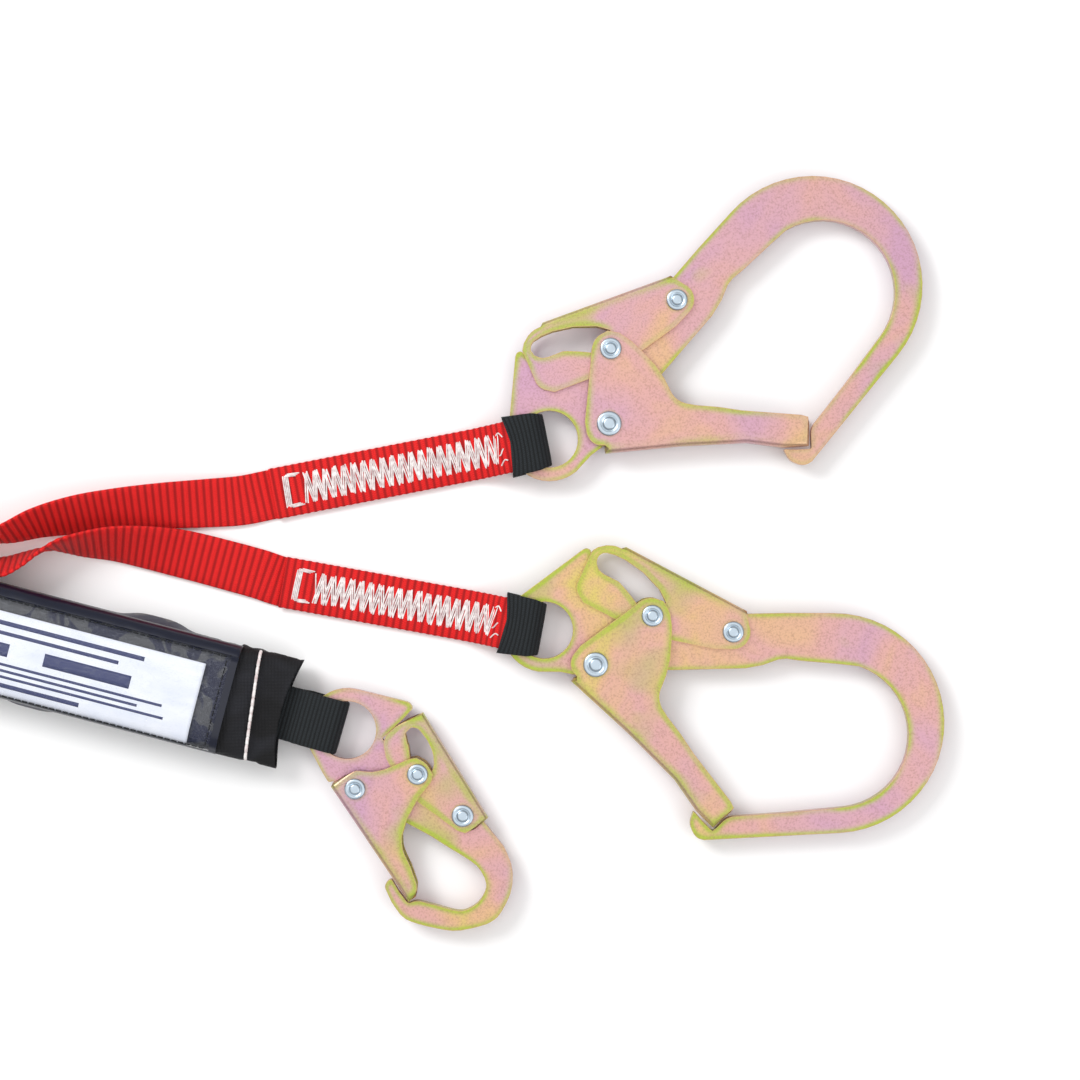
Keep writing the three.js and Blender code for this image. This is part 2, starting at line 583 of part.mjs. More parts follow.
function packGroup() {
  const group = new THREE.Group();
  const sleeve = sleeveSolid(0, 0).subtract(sleeveSolid(PACK_WALL, 4));
  group.add(
    named('pack_cover', fromSolid(sleeve), coverCloth),
    named('pack_tear_webbing', foldedWebbing(), blackWebbing),
    named('pack_label', topSheet(LABEL_LEFT, LABEL_RIGHT, 40, 0.75, 0.5), labelCard),
    named('pack_window', topSheet(WINDOW_LEFT, WINDOW_RIGHT, 46, 2.5, 0.8), clearVinyl),
    named('pack_stitch_right', crossStitch(186), whiteThread),
    named('pack_stitch_left', crossStitch(8), whiteThread),
  );
  const mouth = packMouth();
  group.position.set(mouth[0], mouth[1], 0);
  group.rotation.z = radians(PACK_ANGLE);
  return group;
}

// ---- Assembly -------------------------------------------------------------------------------------------
// The origin is under the middle of the hooks and the pack, on the ground.
const assembly = new THREE.Group();
const rigid = new THREE.Group();
rigid.add(hookGroup('hook_a'), hookGroup('hook_b'), hookGroup('snap'), packGroup());
rigid.add(named('pack_loop', ribbon(packLoopStations(), PAD_WIDTH, WEB), blackWebbing));
assembly.add(rigid, ...legParts('leg_a'), ...legParts('leg_b'));

const middle = new THREE.Box3().setFromObject(rigid, true).getCenter(new THREE.Vector3());
assembly.position.set(-middle.x, -middle.y, 0);

export default assembly;
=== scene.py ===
import math

import bmesh
import bpy
import numpy as np
from mathutils import Matrix, Vector, noise


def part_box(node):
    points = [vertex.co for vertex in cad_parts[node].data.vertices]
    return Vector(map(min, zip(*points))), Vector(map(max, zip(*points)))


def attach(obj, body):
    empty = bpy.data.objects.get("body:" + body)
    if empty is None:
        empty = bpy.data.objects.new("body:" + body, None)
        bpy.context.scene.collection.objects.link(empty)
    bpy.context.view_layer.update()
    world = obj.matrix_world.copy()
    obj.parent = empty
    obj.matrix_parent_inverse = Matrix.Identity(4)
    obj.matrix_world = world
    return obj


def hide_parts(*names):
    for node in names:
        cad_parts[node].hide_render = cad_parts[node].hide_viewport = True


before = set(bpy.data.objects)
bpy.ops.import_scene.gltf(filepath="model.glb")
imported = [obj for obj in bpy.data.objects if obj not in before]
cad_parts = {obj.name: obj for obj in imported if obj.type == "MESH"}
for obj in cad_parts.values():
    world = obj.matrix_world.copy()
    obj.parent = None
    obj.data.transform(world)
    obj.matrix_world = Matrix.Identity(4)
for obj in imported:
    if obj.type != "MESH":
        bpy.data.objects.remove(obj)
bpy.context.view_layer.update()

MM = 0.001

# ---- Floor, light and camera ---------------------------------------------------------------------
# The lanyard lies on a plain pale studio floor under large soft lights. The camera looks
# straight down, from above the point between the two rebar hooks' straps.


def linear(hex_colour):
    """An sRGB hex colour as linear RGBA."""
    parts = [int(hex_colour[i : i + 2], 16) / 255 for i in (0, 2, 4)]
    return [p / 12.92 if p <= 0.04045 else ((p + 0.055) / 1.055) ** 2.4 for p in parts] + [1]


def add_node(tree, kind, inputs=None, **settings):
    """Adds one node. An input is a value, or another node's output socket to link."""
    made = tree.nodes.new(kind)
    for name, value in settings.items():
        setattr(made, name, value)
    for name, value in (inputs or {}).items():
        if isinstance(value, bpy.types.NodeSocket):
            tree.links.new(value, made.inputs[name])
        else:
            made.inputs[name].default_value = value
    return made


def new_material(name, **shader_inputs):
    """A material with one Principled shader, whose uniform values are set here."""
    material = bpy.data.materials.new(name)
    material.use_nodes = True
    tree = material.node_tree
    shader = tree.nodes["Principled BSDF"]
    for socket, value in shader_inputs.items():
        shader.inputs[socket.replace("_", " ")].default_value = value
    return material, tree, shader


def new_object(name, mesh_or_curve):
    piece = bpy.data.objects.new(name, mesh_or_curve)
    bpy.context.scene.collection.objects.link(piece)
    return piece


VIEW_CENTRE = Vector((0.0641, 0.0067, 0))
VIEW_WIDTH = 0.54
CAMERA_HEIGHT = 1.25
HOOK_PLANE = 0.0125  # the hooks' upper faces, where the view is VIEW_WIDTH wide

floor_mesh = bpy.data.meshes.new("floor")
floor_mesh.from_pydata([(-4, -4, 0), (4, -4, 0), (4, 4, 0), (-4, 4, 0)], [], [(0, 1, 2, 3)])
floor = new_object("floor", floor_mesh)
floor_paint, _, _ = new_material("floor_paint", Base_Color=linear("fbfbfb"), Roughness=0.9)
floor.data.materials.append(floor_paint)

camera_data = bpy.data.cameras.new("camera")
camera_data.angle = 2 * math.atan(VIEW_WIDTH / 2 / (CAMERA_HEIGHT - HOOK_PLANE))
camera_data.clip_start = 0.05
camera = new_object("camera", camera_data)
camera.location = VIEW_CENTRE + Vector((0, 0, CAMERA_HEIGHT))
bpy.context.scene.camera = camera

world = bpy.data.worlds.new("studio")
world.use_nodes = True
world.node_tree.nodes["Background"].inputs["Color"].default_value = (1, 1, 1, 1)
world.node_tree.nodes["Background"].inputs["Strength"].default_value = 0.46
bpy.context.scene.world = world
bpy.context.scene.view_settings.view_transform = "Standard"


def soft_light(name, place, size, power):
    data = bpy.data.lights.new(name, "AREA")
    data.size = size
    data.energy = power
    light = new_object(name, data)
    light.location = place
    aim = VIEW_CENTRE - Vector(place)
    light.rotation_euler = aim.to_track_quat("-Z", "Y").to_euler()


soft_light("overhead_light", (0.06, 0.05, 2.0), 3.0, 22)
soft_light("key_light", (-0.9, 0.8, 1.2), 0.7, 15)
soft_light("fill_light", (1.3, -0.7, 1.2), 1.2, 6)

# ---- Legs ----------------------------------------------------------------------------------------
# Two lengths of 25 mm ribbed polyester webbing, dyed red. Each is sewn into the pack's left
# mouth, stands on edge in one open loop, and ends folded back round a rebar hook's eye.

WEB_WIDTH = 25
WEB = 1.5
GAP = 0.3
HOOK_MID_Z = 9.6
LOOP_HALF = 5
BIGHT_REACH = -1.2
PAD = 1.2
PACK_LENGTH = 205
MOUTH_MID_Z = 12.4
PACK_RIGHT = (-125, -87)
PACK_ANGLE = -14.6
PLAN_SHIFT = Vector((64.1036, 6.7441, 0))  # from the plan below to the row's frame

# Each hook's eye centre on the plan and the direction of its webbing, in mm and degrees.
EYES = {
    "hook_a": ((4.75, 50.4), 11.1),
    "hook_b": ((2.25, -45.15), -10.3),
    "snap": ((-96.45, -95.1), -15.8),
}


def turned(point, degrees):
    c, s = math.cos(math.radians(degrees)), math.sin(math.radians(degrees))
    return point[0] * c - point[1] * s, point[0] * s + point[1] * c


def placed(x, y, z):
    """A point of the plan, in mm, as a point of the row's frame, in metres."""
    return (Vector((x, y, z)) + PLAN_SHIFT) * MM


def arc(cx, cy, radius, start, end, steps):
    angles = [math.radians(start + (end - start) * i / steps) for i in range(steps + 1)]
    return [(cx + radius * math.cos(a), cy + radius * math.sin(a)) for a in angles]


def strap_station(hook, q, z, sideways=0):
    """A point on a strap that ends at a hook: q runs along it, 0 at the eye's centre."""
    (ex, ey), strap = EYES[hook]
    dx, dy = turned((1, 0), strap)
    point = placed(ex + q * dx - sideways * dy, ey + q * dy + sideways * dx, z)
    return point, Vector((-dy, dx, 0))


def bight(hook, radius, reach, steps):
    turns = arc(reach - radius, HOOK_MID_Z, radius, -90, 90, steps)
    return [strap_station(hook, q, z) for q, z in turns]


LOOP_START = 70
LOOP_RADIUS = 125
NECK_RADIUS = 60
NECK_ANGLE = 60
RETURN_OFFSET = 38.5
LEG_SPACING = 5.5
TWIST_HUMP = 1.8
RUN_LIFT = 1
LOWER_LAYER = [(-60, 1.05), (-50, 1.05), (-40, 1.7), (-30, 3), (-21, 4)]
UPPER_LAYER = [(-21, 15.1), (-27, 10.6), (-33, 6.3), (-39, 3.7), (-46, 2.95), (-60, 2.85), (-100, 2.85)]

# A leg's hook, its side of the pair, its height in the mouth, the length of its folded end and
# its route past the loop, a list of (x, y, tilt) on the plan: 0 is flat, 90 is on edge.
LEGS = {
    "leg_a": ("hook_a", 1, 13.4, 142, [
        (-285, 1.2, 86), (-268.5, 2.7, 72), (-251, 8.6, 56), (-232, 12.6, 42), (-212.5, 15.2, 34),
        (-189, 17.2, 24), (-170, 18.3, 15), (-150, 19.9, 5)]),
    "leg_b": ("hook_b", -1, 11.4, 134, [
        (-300, -8.8, 90), (-284, -12, 98), (-268.5, -13.4, 112), (-259, -10, 107), (-249, -5.4, 95),
        (-239, -3, 76), (-227, -2.3, 60), (-212.6, -2, 46), (-193.5, -4.4, 28), (-179.1, -7.2, 13),
        (-155.2, -13.4, 4), (-141, -17.4, 1)]),
}


def pack_mouth():
    dx, dy = turned((1, 0), PACK_ANGLE)
    return PACK_RIGHT[0] - PACK_LENGTH * dx, PACK_RIGHT[1] - PACK_LENGTH * dy


def loop_centreline(side):
    """The loop in the mouth's frame: x straight out of the pack, y to the left of that."""
    shift = LEG_SPACING * side
    reach = NECK_RADIUS + LOOP_RADIUS
    neck = math.radians(NECK_ANGLE)
    cx, cy = LOOP_START + reach * math.sin(neck), NECK_RADIUS - reach * math.cos(neck)
    back_y = -RETURN_OFFSET - NECK_RADIUS
    closing = math.acos((cy - back_y) / reach)
    back_x = cx - reach * math.sin(closing)
    closing = math.degrees(closing)
    return (
        arc(LOOP_START, NECK_RADIUS, NECK_RADIUS - shift, -90, -90 + NECK_ANGLE, 4)
        + arc(cx, cy, LOOP_RADIUS + shift, 90 + NECK_ANGLE, -90 - closing, 24)[1:]
        + arc(back_x, back_y, NECK_RADIUS - shift, 90 - closing, 90, 5)[1:]
    )


def smoothstep(x, low, high):
    t = min(max((x - low) / (high - low), 0), 1)
    return t * t * (3 - 2 * t)


def leg_stations(leg):
    """The leg's whole route: a list of (point, direction across the webbing)."""
    hook, side, mouth_z, fold, run = LEGS[leg]
    mx, my = pack_mouth()
    outward = PACK_ANGLE + 180
    on_edge_z = GAP + WEB_WIDTH / 2
    left = Vector((*turned((0, 1), outward), 0))
    down = Vector((0, 0, -1))

    def from_mouth(x, y, z):
        px, py = turned((x, y), outward)
        return placed(mx + px, my + py, z)

    stations = []
    for x in (-18, 0, 12, 26, 40, 54, 66):
        part = smoothstep(x, 4, 62)
        angle = part * math.pi / 2
        stack = side * (1 + (LEG_SPACING - 1) * part)
        z = MOUTH_MID_Z + (on_edge_z - MOUTH_MID_Z) * part + TWIST_HUMP * math.sin(part * math.pi)
        z = mouth_z if x < 4 else z + stack * math.cos(angle)
        across = left * math.cos(angle) + down * math.sin(angle)
        stations.append((from_mouth(x, stack * math.sin(angle), z), across))
    stations += [(from_mouth(x, y, on_edge_z), down) for x, y in loop_centreline(side)]
    for i, (x, y, tilt) in enumerate(run):
        ahead = run[i + 1] if i + 1 < len(run) else (x + 20, y + 20 * math.tan(math.radians(EYES[hook][1])))
        behind = run[i - 1] if i else (x - 20, y)
        across = Vector((ahead[1] - behind[1], behind[0] - ahead[0], 0)).normalized()
        turn = math.radians(tilt)
        rise = WEB_WIDTH / 2 * math.sin(turn) + WEB / 2 * abs(math.cos(turn))
        across = across * math.cos(turn) + down * math.sin(turn)
        stations.append((placed(x, y, GAP + RUN_LIFT + rise), across))
    folded = [strap_station(hook, -fold, 1.05), strap_station(hook, -95, 1.05)]
    folded += [strap_station(hook, q, z) for q, z in LOWER_LAYER]
    folded += bight(hook, LOOP_HALF + WEB / 2, BIGHT_REACH - PAD - GAP - WEB / 2, 8)
    folded += [strap_station(hook, q, z) for q, z in UPPER_LAYER + [(6 - fold, 2.9), (-fold, 3.5)]]
    return stations + [(point, -across) for point, across in folded]


def smooth_route(stations, step):
    """Stations along a smooth curve through the given ones, evenly spaced: points and across."""
    points = np.array([list(p) + list(a * 0.02) for p, a in stations])
    gaps = np.linalg.norm(np.diff(points[:, :3], axis=0), axis=1) ** 0.5
    slopes = np.zeros_like(points)
    before, after = gaps[:-1, None], gaps[1:, None]
    rise_before, rise_after = (points[1:-1] - points[:-2]) / before, (points[2:] - points[1:-1]) / after
    slopes[1:-1] = (rise_before * after + rise_after * before) / (before + after)
    slopes[0], slopes[-1] = (points[1] - points[0]) / gaps[0], (points[-1] - points[-2]) / gaps[-1]
    fine = []
    for i, gap in enumerate(gaps):
        for t in np.linspace(0, 1, 24, endpoint=False):
            h = (2 * t**3 - 3 * t**2 + 1, t**3 - 2 * t**2 + t, -2 * t**3 + 3 * t**2, t**3 - t**2)
            fine.append(h[0] * points[i] + h[1] * gap * slopes[i]
                        + h[2] * points[i + 1] + h[3] * gap * slopes[i + 1])
    fine = np.array(fine + [points[-1]])
    walked = np.concatenate([[0], np.cumsum(np.linalg.norm(np.diff(fine[:, :3], axis=0), axis=1))])
    wanted = np.linspace(0, walked[-1], max(int(walked[-1] / step), 2) + 1)
    even = np.column_stack([np.interp(wanted, walked, fine[:, k]) for k in range(6)])
    place, across = even[:, :3], even[:, 3:]
    along = np.gradient(place, axis=0)
    along /= np.linalg.norm(along, axis=1)[:, None]
    across -= along * np.sum(along * across, axis=1)[:, None]
    across /= np.linalg.norm(across, axis=1)[:, None]
    return place, across, np.cross(along, across), wanted


def webbing_mesh(name, stations, width, thickness, rib_pitch, rib_height, step=0.8 * MM, worked=0.0):
    """A woven strap: a rounded flat section swept along its route, with ribs across it. Its UV
    map runs along the strap and across it, one unit to 100 mm. The last stretch, worked long, is
    spread a little by its stitches, with a scalloped selvedge."""
    place, across, normal, walked = smooth_route(stations, step)
    spread = np.clip((walked - walked[-1] + worked) / (10 * MM), 0, 1) if worked else 0 * walked
    widths = width * (1 + spread * (0.03 + 0.012 * np.cos(2 * math.pi * walked / rib_pitch)))
    edge = [(0.985, 0.75), (1.0, 0.0), (0.985, -0.75)]
    top = [(v, 1.0) for v in np.linspace(-0.94, 0.94, 7)]
    section = top + edge + [(v, -w) for v, w in reversed(top)] + [(-v, -w) for v, w in edge]
    ribs = (0.5 - 0.5 * np.cos(2 * math.pi * walked / rib_pitch)) ** 0.8
    rings = []
    for v, w in section:
        swell = np.where(abs(w) == 1, ribs * rib_height * (1 if abs(v) < 0.9 else 0.5), 0)
        out = w * (thickness / 2) + np.sign(w) * swell
        rings.append(place + across * (v * widths / 2)[:, None] + normal * out[:, None])
    grid = np.stack(rings, axis=1)
    grid[..., 2] = np.maximum(grid[..., 2], 0.1 * MM)  # a rib that meets the ground is pressed flat
    count, around = grid.shape[:2]
    verts = grid.reshape(-1, 3)
    faces, uvs = [], []
    for i in range(count - 1):
        for k in range(around):
            nxt = (k + 1) % around
            faces.append((i * around + k, i * around + nxt, (i + 1) * around + nxt, (i + 1) * around + k))
            u0, u1 = walked[i] * 10, walked[i + 1] * 10
            v0, v1 = section[k][0] * width * 5, section[nxt][0] * width * 5
            uvs += [(u0, v0), (u0, v1), (u1, v1), (u1, v0)]
    for first, order in ((0, range(around)), (count - 1, reversed(range(around)))):
        ring = [first * around + k for k in order]
        faces.append(tuple(ring))
        uvs += [(walked[first] * 10, section[k % around][0] * width * 5) for k in ring]
    mesh = bpy.data.meshes.new(name)
    mesh.from_pydata([tuple(v) for v in verts], [], faces)
    mesh.uv_layers.new(name="along_and_across").data.foreach_set("uv", np.array(uvs, dtype=float).ravel())
    mesh.shade_smooth()
    bm = bmesh.new()
    bm.from_mesh(mesh)
    bmesh.ops.recalc_face_normals(bm, faces=bm.faces)
    bm.to_mesh(mesh)
    bm.free()
    return mesh, place


def woven_polyester(name, thread_hex, shade_hex, groove_shade_hex, rib_mm, weave_mm):
    """Woven polyester yarn: matt, with painted shade in the grooves between its ribs. The yarns of about
    0.6 mm are drawn at weave_mm so that they show."""
    material, tree, shader = new_material(
        name, Roughness=0.78, Sheen_Weight=0.06, Sheen_Roughness=0.4, Specular_IOR_Level=0.3)
    uv = add_node(tree, "ShaderNodeUVMap", uv_map="along_and_across")
    split = add_node(tree, "ShaderNodeSeparateXYZ", {"Vector": uv.outputs["UV"]})
    turns = 2 * math.pi * 100 / weave_mm
    warp = add_node(tree, "ShaderNodeMath", {0: split.outputs["Y"], 1: turns}, operation="MULTIPLY")
    weft = add_node(tree, "ShaderNodeMath", {0: split.outputs["X"], 1: turns / 2}, operation="MULTIPLY")
    warp_wave = add_node(tree, "ShaderNodeMath", {0: warp.outputs[0]}, operation="SINE")
    weft_wave = add_node(tree, "ShaderNodeMath", {0: weft.outputs[0]}, operation="SINE")
    cells = add_node(tree, "ShaderNodeMath", {0: warp_wave.outputs[0], 1: weft_wave.outputs[0]},
                     operation="MULTIPLY")
    speck = add_node(tree, "ShaderNodeTexNoise", {"Vector": uv.outputs["UV"], "Scale": 160.0, "Detail": 3.0})
    mixed = add_node(tree, "ShaderNodeMath", {0: cells.outputs[0], 1: 0.22, 2: speck.outputs["Fac"]},
                     operation="MULTIPLY_ADD")
    ramp = add_node(tree, "ShaderNodeMapRange",
                    {"Value": mixed.outputs[0], "From Min": 0.2, "From Max": 0.85})
    colour = add_node(tree, "ShaderNodeMix", {"Factor": ramp.outputs[0]}, data_type="RGBA")
    colour.inputs["A"].default_value = linear(shade_hex)
    colour.inputs["B"].default_value = linear(thread_hex)
    # Painted shade in the grooves between the ribs: a darker colour mixed in where the strap's ribs dip.
    rib_turns = 2 * math.pi * 100 / rib_mm
    rib_phase = add_node(tree, "ShaderNodeMath", {0: split.outputs["X"], 1: rib_turns}, operation="MULTIPLY")
    rib_wave = add_node(tree, "ShaderNodeMath", {0: rib_phase.outputs[0]}, operation="COSINE")
    groove = add_node(tree, "ShaderNodeMapRange",
                      {"Value": rib_wave.outputs[0], "From Min": -0.3, "From Max": 1.3})
    ribbed = add_node(tree, "ShaderNodeMix", {"Factor": groove.outputs[0]}, data_type="RGBA")
    tree.links.new(colour.outputs["Result"], ribbed.inputs["A"])
    ribbed.inputs["B"].default_value = linear(groove_shade_hex)
    bump = add_node(tree, "ShaderNodeBump", {"Height": mixed.outputs[0], "Strength": 0.6, "Distance": 0.0005})
    tree.links.new(ribbed.outputs["Result"], shader.inputs["Base Color"])
    tree.links.new(bump.outputs["Normal"], shader.inputs["Normal"])
    return material


RED_RIB = 3.6  # pitch of the ribs across the red webbing
red_polyester = woven_polyester("red_polyester_webbing", "ee2421", "cb1316", "8a070b", RED_RIB, 1.1)
leg_pieces = {}
for leg in LEGS:
    mesh, centreline = webbing_mesh(f"{leg}_strap", leg_stations(leg), WEB_WIDTH * MM, WEB * MM,
                                    RED_RIB * MM, 0.48 * MM, worked=LEGS[leg][3] * MM)
    strap = new_object(f"{leg}_strap", mesh)
    strap.data.materials.append(red_polyester)
    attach(strap, "lanyard")
    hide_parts(f"{leg}_webbing")
    leg_pieces[leg] = (strap, centreline)

# ---- Wear pads -----------------------------------------------------------------------------------
# A sleeve of soft black ribbed webbing round each leg's bight, between the leg and the steel.
# It is a little wider than the leg and is pinched where it passes through the eye.

PAD_WIDTH = 26.5
PAD_FLARE = 30.5
PAD_END = -20

black_polyester = woven_polyester("black_polyester_webbing", "2c3236", "15181a", "050607", 2, 0.9)


def bent_strap(name, hook, layers, radius, reach, width, thickness, rib_pitch, rib_height):
    """A strap that comes along the lower layer, goes round an eye, and back on the upper one."""
    lower, upper = layers
    stations = [strap_station(hook, q, z) for q, z in lower]
    stations += bight(hook, radius, reach, 8)
    stations += [strap_station(hook, q, z) for q, z in upper]
    mesh, _ = webbing_mesh(name, stations, width * MM, thickness * MM, rib_pitch * MM,
                           rib_height * MM, 0.4 * MM)
    return new_object(name, mesh)


for leg, (hook, *_) in LEGS.items():
    radius = LOOP_HALF + WEB + GAP + PAD / 2
    ends = [[(PAD_END, HOOK_MID_Z - radius)], [(PAD_END, HOOK_MID_Z + radius)]]
    pad = bent_strap(f"{leg}_pad", hook, ends, radius, BIGHT_REACH - PAD / 2, PAD_WIDTH, PAD, 2, 0.3)
    (ex, ey), strap_angle = EYES[hook]
    eye = placed(ex, ey, HOOK_MID_Z)
    along = Vector((*turned((1, 0), strap_angle), 0))
    sideways = Vector((-along.y, along.x, 0))
    for vertex in pad.data.vertices:
        offset = vertex.co - eye
        back = min(max(-offset.dot(along) / (20 * MM), 0), 1)
        lift = min(abs(offset.z) / (7 * MM), 1)
        grow = 1 + (PAD_FLARE / PAD_WIDTH - 1) * (0.35 + 0.65 * back) * lift**3
        ripple = 0.5 * MM * math.sin(offset.dot(sideways) * 620) * back**2
        vertex.co += sideways * offset.dot(sideways) * (grow - 1)
        corner = (offset.dot(sideways) / (PAD_WIDTH / 2 * MM)) ** 2
        vertex.co -= along * 2.6 * MM * (corner - 0.35) * back**2 * lift
        vertex.co.z += math.copysign(abs(ripple), offset.z) * lift
    pad.data.materials.append(black_polyester)
    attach(pad, "lanyard")
    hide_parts(f"{leg}_wear_pad")

# ---- Leg stitching -------------------------------------------------------------------------------
# Thick white bonded thread in three overlapping rows of zigzag holds each folded end down,
# with a bar tack at the far end and loose thread tails at the near end.

THREAD = 0.36
ZIGZAG_NEAR = -25
ZIGZAG_MARGIN = 9  # from the folded end to its bar tack
ZIGZAG_PITCH = 4.9
ZIGZAG_HALF = 7.6

thread_finish, tree, shader = new_material("bonded_thread", Roughness=0.6, Sheen_Weight=0.3)
# Painted pinkish shade between the thread's strands: a pink grey mixed into the white at random.
strand_shade_noise = add_node(tree, "ShaderNodeTexNoise", {"Scale": 700.0, "Detail": 2.0})
thread_ramp = add_node(tree, "ShaderNodeMapRange",
                       {"Value": strand_shade_noise.outputs["Fac"], "From Min": 0.3, "From Max": 0.7})
thread_mix = add_node(tree, "ShaderNodeMix", {"Factor": thread_ramp.outputs[0]}, data_type="RGBA")
thread_mix.inputs["A"].default_value = linear("cfb9b9")
thread_mix.inputs["B"].default_value = linear("fbf8f6")
tree.links.new(thread_mix.outputs["Result"], shader.inputs["Base Color"])


def upper_surface(q):
    """The height of the folded end's top face, in mm."""
    qs = [-point[0] for point in UPPER_LAYER]
    zs = [point[1] for point in UPPER_LAYER]
    return float(np.interp(-q, qs, zs)) + WEB / 2 + 0.28


def thread_curve(name, strokes, radius):
    """Threads that lie on cloth: each stroke is a list of points, round in section."""
    data = bpy.data.curves.new(name, "CURVE")
    data.dimensions = "3D"
    data.bevel_depth = radius
    data.bevel_resolution = 2
    data.use_fill_caps = True
    data.resolution_u = 3
    for stroke in strokes:
        spline = data.splines.new("NURBS")
        spline.points.add(len(stroke) - 1)
        for point, co in zip(spline.points, stroke):
            point.co = (*co, 1)
        spline.order_u = 3
        spline.use_endpoint_u = True
    return new_object(name, data)


def stitch_stroke(surface, start, end, lift):
    """One stitch from start to end, (q, y) on a surface: out of the cloth, over it and in."""
    stroke = []
    for t, height in ((0, -0.5), (0.06, 0.1), (0.3, 1), (0.7, 1), (0.94, 0.1), (1, -0.5)):
        q = start[0] + (end[0] - start[0]) * t
        y = start[1] + (end[1] - start[1]) * t
        stroke.append(surface(q, y, height * lift))
    return stroke


for number, (leg, (hook, _, _, fold, _)) in enumerate(LEGS.items()):
    shuffle = np.random.default_rng(40 + number)
    far = ZIGZAG_MARGIN - fold

    def on_fold(q, y, lift, hook=hook):
        return strap_station(hook, q, upper_surface(q) + lift, y)[0]

    strokes = []
    for row, shift in enumerate((0, 0.95, 1.8)):
        turns = []
        for i in range(int(2 * (ZIGZAG_NEAR - shift - far - 4) / ZIGZAG_PITCH)):
            q = ZIGZAG_NEAR - shift - ZIGZAG_PITCH / 2 * i + shuffle.uniform(-0.22, 0.22)
            turns.append((q, (-1) ** i * (ZIGZAG_HALF + shuffle.uniform(-0.5, 0.4))))
        for start, end in zip(turns, turns[1:]):
            strokes.append(stitch_stroke(on_fold, start, end, 0.35 + 0.15 * row))
    for row in range(4):
        q = far - 0.8 * row
        strokes.append(stitch_stroke(on_fold, (q, 8.2), (q - 0.6, -8.2), 0.4 + 0.1 * row))
    for side in (1, -1):
        for row in range(3):
            start = (far - 2 + row, side * (7.4 + 0.5 * row))
            strokes.append(stitch_stroke(on_fold, start, (start[0] + 6, start[1] - side * 0.4), 0.5))
    for y, length in ((6.5, 5), (-2, 4), (-7.2, 6)):
        tail = [on_fold(ZIGZAG_NEAR - 1 + length * t * 0.5, y + 1.6 * math.sin(3 * t + y), 0.3 + 0.8 * t)
                for t in (0, 0.4, 0.8, 1.2)]
        strokes.append(tail)
    thread = thread_curve(f"{leg}_zigzag", strokes, THREAD * MM)
    thread.data.materials.append(thread_finish)
    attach(thread, "lanyard")
    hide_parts(f"{leg}_stitching")

for leg, (strap, centreline) in leg_pieces.items():
    path = centreline[::6]
    [tuple(p) for p in path]

# ---- Hook plates, gates and levers ---------------------------------------------------------------
# Each hook is stamped from 5.5 mm steel plate; its gate and lever are folded from 2 mm sheet.
# All are zinc plated and yellow chromated, which gives pink, gold and green tints, with green
# along every edge, where the coating is thickest.


